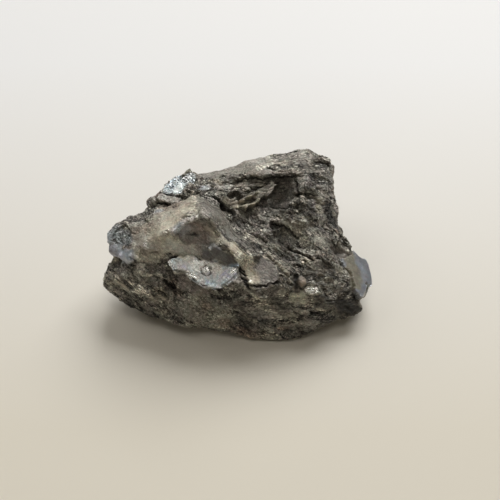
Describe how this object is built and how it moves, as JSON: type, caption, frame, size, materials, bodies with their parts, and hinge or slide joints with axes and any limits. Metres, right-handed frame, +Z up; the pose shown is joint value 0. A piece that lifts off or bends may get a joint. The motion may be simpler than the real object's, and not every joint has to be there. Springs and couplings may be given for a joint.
{
  "type": "skutterudite mineral specimen",
  "caption": "Broken lump of dark metallic ore with a silvery cleavage plate, ledges and pits, lying on a flat side.",
  "frame": {"origin": "centre of the bounding box on the resting plane", "axes": "+X to the right along the longest side, +Y to the back, +Z up from the resting face"},
  "size_m": [0.0512, 0.0378, 0.0216],
  "materials": {
    "ore": "granular metallic grey ore with a brownish film, and bright bluish-silver cleavage plates"
  },
  "bodies": {
    "root": {"skutterudite_specimen": "ore"}
  },
  "joints": []
}
